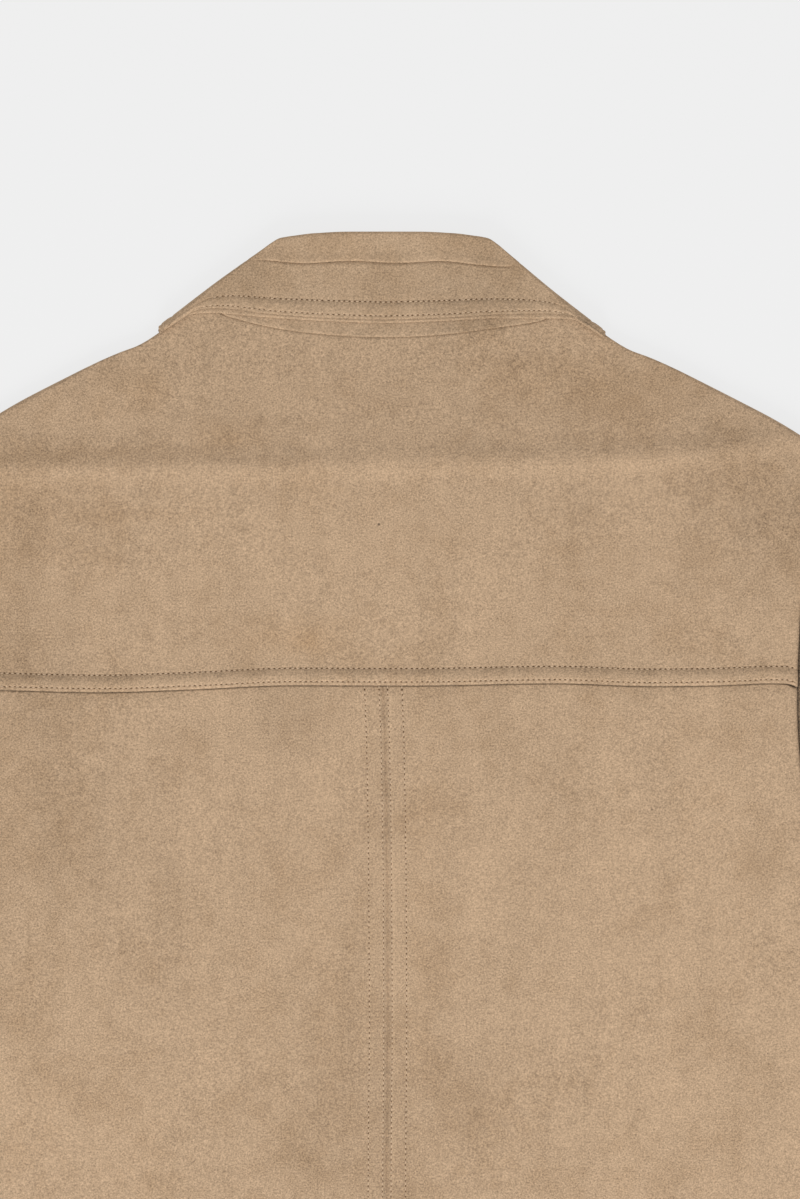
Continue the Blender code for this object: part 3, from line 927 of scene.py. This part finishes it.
pieces = {}
bodyAcross = stations(0, (0.006, 6), (0.016, 4), (0.055, 20), (1, 58), (2, 9))
bodyUp = stations(0, (0.986, 118), (0.9935, 5), (1, 12))
yokeAcross = mirrored(stations(0, (1, 64), (2, 8)))
yokeUp = stations(0, (0.012, 9), (0.060, 26), (0.085, 8), (1, 58), (2, 9))
frontAcross = stations(0, (0.03, 3), (1, 64), (2, 6))
frontUp = stations(0, (1, 118), (2, 6))
sleeveAround = stations(-1, (0, 7), (1, 46), (3, 12), (4, 34), (5, 6))
sleeveDown = stations(-1, (0, 8), (0.30, 42), (1, 52))
collarAround = mirrored(stations(0, (0.34, 56), (0.46, 20), (0.58, 22), (1, 44)))
for word, side, layer in (("left", -1, 0), ("right", 1, 1)):
    panels = (
        ("back", bodyAcross, bodyUp, backPanel(side), paintBack),
        ("front", frontAcross, frontUp, frontPanel(side, layer), paintFront),
        ("sleeve", sleeveAround, sleeveDown, sleevePanel(side), paintSleeve),
    )
    for kind, across, up, place, toneAt in panels:
        name = f"{kind}_{word}"
        pieces[name] = clothPiece(f"{name}_suede", across, up, place, materials["suede"], toneAt)
pieces["back_yoke"] = clothPiece(
    "back_yoke_suede", yokeAcross, yokeUp, yokePanel, materials["suede"], paintYoke
)
standUp = stations(0, (0.04, 4), (1, 12), (2, 12), (2.8, 8), (3, 10))
leafDown = stations(0, (0.08, 7), (0.70, 18), (0.985, 30), (1, 6))
underDown = stations(0, (0.9, 10), (1, 14))
for name, up, place in (
    ("collar_stand", standUp, collarStand),
    ("collar_leaf", leafDown, collarLeaf),
    ("under_collar", underDown, underCollar),
):
    pieces[name] = clothPiece(f"{name}_suede", collarAround, up, place, materials["collar"], paintCollar)
print("cloth made")


# Stitches: a short thread and the needle's hole after it, again and again along a row of places; the hole is
# a dark dot of painted shade
stitch = {
    "pitch": 0.0033,
    "length": 0.0022,
    "width": 0.0007,
    "height": 0.0004,
    "hole": 0.0014,
    "proud": 0.00011,
    "sunk": 0.00002,
}


def ellipsoid(bm, spot, size, look):
    matrix = Matrix.Translation(spot) @ Matrix.Diagonal((*(extent / 2 for extent in size), 1))
    made = bmesh.ops.create_uvsphere(bm, u_segments=6, v_segments=4, radius=1, matrix=matrix)
    for face in {face for vert in made["verts"] for face in vert.link_faces}:
        face.material_index = look


def stitchShape():
    bm = bmesh.new()
    quarter = stitch["pitch"] / 4
    ellipsoid(bm, (-quarter, 0, 0), (stitch["length"], stitch["width"], stitch["height"]), 0)
    # the dark dot of painted shade at the needle's dip
    ellipsoid(bm, (quarter, 0, 0), (stitch["hole"], stitch["hole"] * 0.8, stitch["height"] * 0.7), 1)
    mesh = bpy.data.meshes.new("stitch")
    bm.to_mesh(mesh)
    bm.free()
    return mesh


oneStitch = stitchShape()


def sewRow(bm, spots):
    walked = 0.0
    for before, spot in zip(spots, spots[1:]):
        run = spot - before
        walked += run.length
        if walked < stitch["pitch"]:
            continue
        walked -= stitch["pitch"]
        turn = run.to_track_quat("X", "Z").to_matrix().to_4x4()
        copy = oneStitch.copy()
        copy.transform(Matrix.Translation((spot.x, leanY(spot.x, spot.y) + neckY, spot.z)) @ turn)
        bm.from_mesh(copy)
        bpy.data.meshes.remove(copy)


def stitchPiece(name, rows):
    bm = bmesh.new()
    for spots in rows:
        sewRow(bm, spots)
    thing = linkMesh(name, bm, ("thread", "hole"))
    thing.data.shade_smooth()
    print(name, len(thing.data.polygons), "faces")
    return thing


def steps(first, last, size=0.0011):
    count = max(int(abs(last - first) / size), 2)
    return [mix(first, last, k / count) for k in range(count + 1)]


def onBack(x, y, lift):
    return Vector((x, y, topZ(x, y) + lift + wall / 2))


yokeRows = []
backRows = []
collarRows = []
for s in (yokeLip["edgeRow"], yokeLip["bandRow"]):
    spots = []
    for x in steps(-0.2545, 0.2545):
        y = yokeSeamCurve(x) - yokeLip["over"] + s
        spots.append(onBack(x, y, yokeEdgeRelief(s) + stitch["proud"]))
    yokeRows.append(spots)
for side in (-1, 1):
    for s in (centreSeam["edgeRow"], centreSeam["outerRow"]):
        spots = []
        for y in steps(-0.2160, body["hemY"] + 0.003):
            raised = centreSeam["raised"] * (1 - step(*centreSeam["flatBy"], s))
            lift = raised - centreSeam["groove"] - stitch["sunk"]
            spots.append(onBack(backSeamCurve(y) + side * (s + body["seamGap"] / 2), y, lift))
        backRows.append(spots)
for s in (collar["edgeRow"], collar["bandRow"]):
    spots = []
    for around in steps(-0.38, 0.38, 0.003):
        _, fold, edge, turn, seam = collarStation(around)
        length = (edge - fold).length
        depth = collar["leafDepth"] - leafRelief(s, length, 0) - wall / 2 - stitch["proud"]
        spots.append(Vector(ringPoint(around, depth, mix(fold, edge, 1 - s / length), turn)))
    collarRows.append(spots)
# Rows on the sides that lie underneath, and at the hem and cuffs
rows = {"placket": (-0.0125, 0.020), "hem": 0.022, "cuff": 0.030}
frontRows = []
sleeveRows = []
for side, layer in ((-1, 0), (1, 1)):
    under = wall / 2 + stitch["proud"]
    for x in rows["placket"]:
        ys = steps(body["hemY"] + 0.003, frontTopY(x) - 0.004)
        frontRows.append([Vector((side * x, y, bottomZ(x, y, layer) - under)) for y in ys])
    hem = body["hemY"] + rows["hem"]
    xs = steps(0.022, halfWidth(hem) - foldRadius)
    frontRows.append([Vector((side * x, hem, bottomZ(x, hem, layer) - under)) for x in xs])
    xs = steps(0.014, halfWidth(hem) - foldRadius)
    backRows.append([onBack(side * x, hem, stitch["proud"]) for x in xs])
    sleevePlace = sleevePanel(side)
    cuffLength = (sleevePlan(0.5, 1) - sleevePlan(0.5, 0.9)).length / 0.1
    along = 1 - rows["cuff"] / cuffLength
    for first, last, lift in ((0.02, 0.98, under), (3.02, 3.98, -under)):
        places = [Vector(sleevePlace(t, along)) for t in steps(first, last, 0.007)]
        sleeveRows.append([spot + Vector((0, 0, lift)) for spot in places])
pieces["stitches_front"] = stitchPiece("stitches_front", frontRows)
pieces["stitches_sleeves"] = stitchPiece("stitches_sleeves", sleeveRows)
pieces["stitches_yoke"] = stitchPiece("stitches_yoke", yokeRows)
pieces["stitches_back"] = stitchPiece("stitches_back", backRows)
pieces["stitches_collar"] = stitchPiece("stitches_collar", collarRows)
print("stitches made")

buttonhole = {"length": 0.021, "bite": 0.0022, "thread": 0.0006, "threads": 26}
buttonLook = {"rim": 0.0016, "dish": 0.0005, "holeRadius": 0.0009, "holeAt": 0.0021, "round": 0.0003}
buttonNames = sorted(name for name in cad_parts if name.startswith("button_"))


# A slot bound with thread on the outer front, behind each button; the slot itself is a dark ellipsoid of
# painted shade
def boundHole(name, centre):
    bm = bmesh.new()
    size = (buttonhole["length"], buttonhole["thread"], buttonhole["thread"] / 2)
    ellipsoid(bm, centre, size, 1)
    for k in range(buttonhole["threads"]):
        x = (k / (buttonhole["threads"] - 1) - 0.5) * buttonhole["length"]
        for edge in (-1, 1):
            spot = centre + Vector((x, edge * (buttonhole["bite"] + buttonhole["thread"]) / 2, 0))
            ellipsoid(bm, spot, (buttonhole["thread"], buttonhole["bite"], buttonhole["thread"] / 2), 0)
    thing = linkMesh(name, bm, ("thread", "hole"))
    thing.data.shade_smooth()
    return thing


# A turned button with a raised rim, a dished middle and four holes; its outer face is down
def turnedButton(name, low, high):
    centre, radius, height = (low + high) / 2, (high.x - low.x) / 2, high.z - low.z
    rim, dish, soft = buttonLook["rim"], buttonLook["dish"], buttonLook["round"]
    profile = (
        (0, dish), (radius - 2 * rim, dish), (radius - rim, 0), (radius - soft, 0), (radius, soft),
        (radius, height - soft), (radius - soft, height), (0, height),
    )
    bm = bmesh.new()
    verts = [bm.verts.new((x, 0, z)) for x, z in profile]
    edges = [bm.edges.new(pair) for pair in zip(verts, verts[1:])]
    bmesh.ops.spin(
        bm, geom=verts + edges, axis=(0, 0, 1), cent=(0, 0, 0), angle=math.tau, steps=48, use_merge=True
    )
    bmesh.ops.remove_doubles(bm, verts=bm.verts, dist=0.00001)
    bmesh.ops.recalc_face_normals(bm, faces=bm.faces)
    bmesh.ops.translate(bm, verts=bm.verts, vec=(centre.x, centre.y, low.z))
    button = linkMesh(name, bm, ("horn",))
    cutter = bmesh.new()
    for k in range(4):
        angle = math.pi / 4 + k * math.pi / 2
        away = Vector((math.cos(angle), math.sin(angle), 0)) * buttonLook["holeAt"]
        bmesh.ops.create_cone(
            cutter, cap_ends=True, segments=16, radius1=buttonLook["holeRadius"],
            radius2=buttonLook["holeRadius"], depth=3 * height, matrix=Matrix.Translation(centre + away),
        )
    drill = linkMesh(name + "_drill", cutter, ())
    holes = button.modifiers.new("holes", "BOOLEAN")
    holes.object = drill
    bpy.context.view_layer.update()
    makeReal(button)
    bpy.data.objects.remove(drill, do_unlink=True)
    button.data.shade_smooth()
    button.data.set_sharp_from_angle(angle=math.radians(40))
    return button


for name in buttonNames:
    low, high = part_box(name)
    number = name.split("_")[-1]
    pieces[name] = turnedButton(f"turned_button_{number}", low, high)
    y = (low.y + high.y) / 2
    at = Vector((0, y, bottomZ(0, y - neckY, 0) - wall / 2))
    pieces[f"buttonhole_{number}"] = boundHole(f"buttonhole_{number}", at)
print("buttons made")

# Floor, light and camera
floorMesh = bpy.data.meshes.new("floor")
bm = bmesh.new()
bmesh.ops.create_grid(bm, x_segments=1, y_segments=1, size=6)
bmesh.ops.translate(bm, verts=bm.verts, vec=(0, 0, -0.0004))
bm.to_mesh(floorMesh)
bm.free()
floor = bpy.data.objects.new("floor", floorMesh)
bpy.context.scene.collection.objects.link(floor)
paper = bpy.data.materials.new("paper")
paper.use_nodes = True
glow = paper.node_tree.nodes["Principled BSDF"].inputs
glow["Base Color"].default_value = (0.10, 0.10, 0.10, 1)
glow["Roughness"].default_value = 0.9
glow["Specular IOR Level"].default_value = 0.0
glow["Emission Color"].default_value = (1, 1, 1, 1)
glow["Emission Strength"].default_value = 0.765
floorMesh.materials.append(paper)

studio = {"sky": 0.72, "lamp": 125, "lampSize": 1.8, "lampHeight": 2.0, "lampAway": 3.6}
world = bpy.data.worlds.new("studio")
world.use_nodes = True
world.node_tree.nodes["Background"].inputs["Color"].default_value = (1, 1, 1, 1)
world.node_tree.nodes["Background"].inputs["Strength"].default_value = studio["sky"]
bpy.context.scene.world = world
bpy.context.scene.view_settings.view_transform = "Standard"
lampData = bpy.data.lights.new("softbox", "AREA")
lampData.shape = "SQUARE"
lampData.size = studio["lampSize"]
lampData.energy = studio["lamp"]
lamp = bpy.data.objects.new("softbox", lampData)
bpy.context.scene.collection.objects.link(lamp)
lamp.location = (-0.3, -studio["lampAway"], studio["lampHeight"])
lamp.rotation_euler = (Vector((0, 0, 0)) - lamp.location).to_track_quat("-Z", "Y").to_euler()

cameraData = bpy.data.cameras.new("camera")
cameraData.lens = 100
cameraData.sensor_width = 36
camera = bpy.data.objects.new("camera", cameraData)
bpy.context.scene.collection.objects.link(camera)
camera.location = (0.010, neckY - 0.1638, 2.088)
camera.rotation_euler = (0, 0, 0)
bpy.context.scene.camera = camera

# What each piece stands for, and the size its cloth was cut to: width, length and area
cuts = {
    "back_left": (0.275, 0.465, 0.1233, "laid", ["front_left"]),
    "back_right": (0.275, 0.465, 0.1233, "laid", ["front_right"]),
    "back_yoke": (0.550, 0.240, 0.1093, "laid", ["front_left", "front_right"]),
    "front_left": (0.285, 0.700, 0.1792, "laid", ["floor"]),
    "front_right": (0.285, 0.700, 0.1792, "laid", ["floor"]),
    "sleeve_left": (0.540, 0.600, 0.1806, "laid", ["floor"]),
    "sleeve_right": (0.540, 0.600, 0.1806, "laid", ["floor"]),
    "collar_stand": (0.600, 0.085, 0.0324, "folded", ["back_yoke"]),
    "collar_leaf": (0.560, 0.085, 0.0333, "folded", ["back_yoke"]),
    "under_collar": (0.560, 0.100, 0.0404, "folded", ["back_yoke"]),
}
for name, (width, length, area, held, restsOn) in cuts.items():
    piece = pieces[name]
    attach(piece, "root")
    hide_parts(name)
for name, piece in pieces.items():
    if name in cuts:
        continue
    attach(piece, "root")
    if name in buttonNames:
        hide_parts(name)
